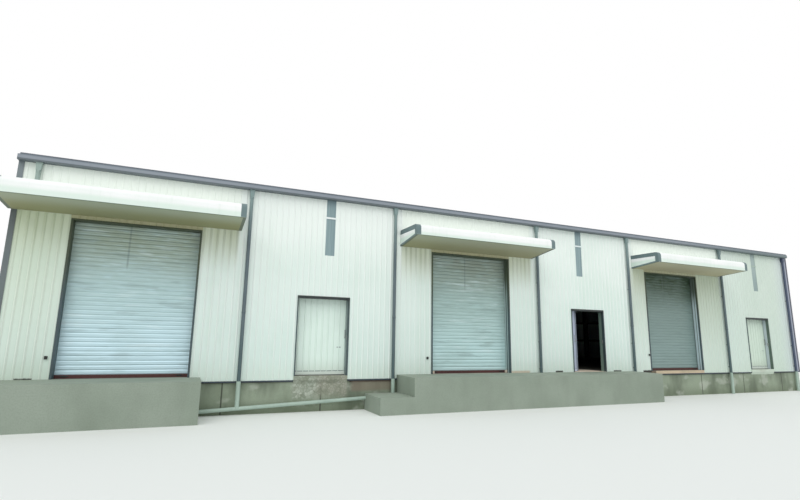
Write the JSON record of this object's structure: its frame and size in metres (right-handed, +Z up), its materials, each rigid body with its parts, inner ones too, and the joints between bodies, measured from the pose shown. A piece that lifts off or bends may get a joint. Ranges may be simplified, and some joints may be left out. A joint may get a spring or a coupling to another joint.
{
  "type": "factory building",
  "caption": "Long single-storey factory shed of ribbed wall sheets with roller shutters under canopies, sliding doors, downpipes, a gutter and concrete docks.",
  "frame": {"origin": "middle of the bounding box's bottom, on the ground", "axes": "+X along the front from its left end to its right end, +Y from the front into the building, +Z up"},
  "size_m": [27.493, 13.362, 6.3472],
  "materials": {
    "wall_sheet": "satin",
    "roof_sheet": "satin",
    "corner_trim": "satin",
    "gutter": "satin",
    "pipe": "satin",
    "pale_plastic": "matt",
    "canopy_sheet": "satin",
    "canopy_trim": "satin",
    "soffit": "matt",
    "shutter": "satin",
    "bottom_rail": "matt",
    "galvanised": "dull",
    "opening_frame": "satin",
    "sill": "rough",
    "door_leaf": "satin",
    "steel": "satin",
    "light_sheet": "rippled",
    "concrete": "rough"
  },
  "bodies": {
    "building": {"front_wall_piers": "wall_sheet", "front_wall_heads": "wall_sheet", "back_wall": "wall_sheet", "left_gable": "wall_sheet", "right_gable": "wall_sheet", "front_roof": "roof_sheet", "back_roof": "roof_sheet", "ridge_cap": "roof_sheet", "eaves_trims": "roof_sheet", "verge_trims": "roof_sheet", "corner_trims": "corner_trim", "gutters": "gutter", "downpipes": "pipe", "outlets": "pipe", "pipe_clips": "pipe", "drain_pipes": "pale_plastic", "canopy_decks": "canopy_sheet", "canopy_ends": "canopy_sheet", "canopy_trims": "canopy_trim", "canopy_soffits": "soffit", "left_shutter": "shutter", "middle_shutter": "shutter", "right_shutter": "shutter", "shutter_rails": "bottom_rail", "shutter_guides": "galvanised", "shutter_hoods": "galvanised", "door_tracks": "galvanised", "opening_jambs": "opening_frame", "opening_heads": "opening_frame", "opening_sills": "sill", "columns": "steel", "front_rafters": "steel", "back_rafters": "steel", "purlins": "steel", "girts": "steel", "gable_girts": "steel", "wall_lights": "light_sheet", "front_plinth": "concrete", "back_plinth": "concrete", "end_plinths": "concrete", "floor_slab": "concrete", "left_dock": "concrete", "middle_dock": "concrete", "dock_step": "concrete"},
    "left_door": {"left_door_leaf": "door_leaf", "left_door_fittings": "galvanised"},
    "middle_door": {"middle_door_leaf": "door_leaf", "middle_door_fittings": "galvanised"},
    "right_door": {"right_door_leaf": "door_leaf", "right_door_fittings": "galvanised"}
  },
  "joints": [
    {"name": "left_door_slide", "type": "slide", "parent": "building", "child": "left_door", "axis": [1, 0, 0], "range_m": [-1.16, 0]},
    {"name": "middle_door_slide", "type": "slide", "parent": "building", "child": "middle_door", "axis": [1, 0, 0], "range_m": [-0.135, 1.07]},
    {"name": "right_door_slide", "type": "slide", "parent": "building", "child": "right_door", "axis": [1, 0, 0], "range_m": [-1.185, 0]}
  ]
}
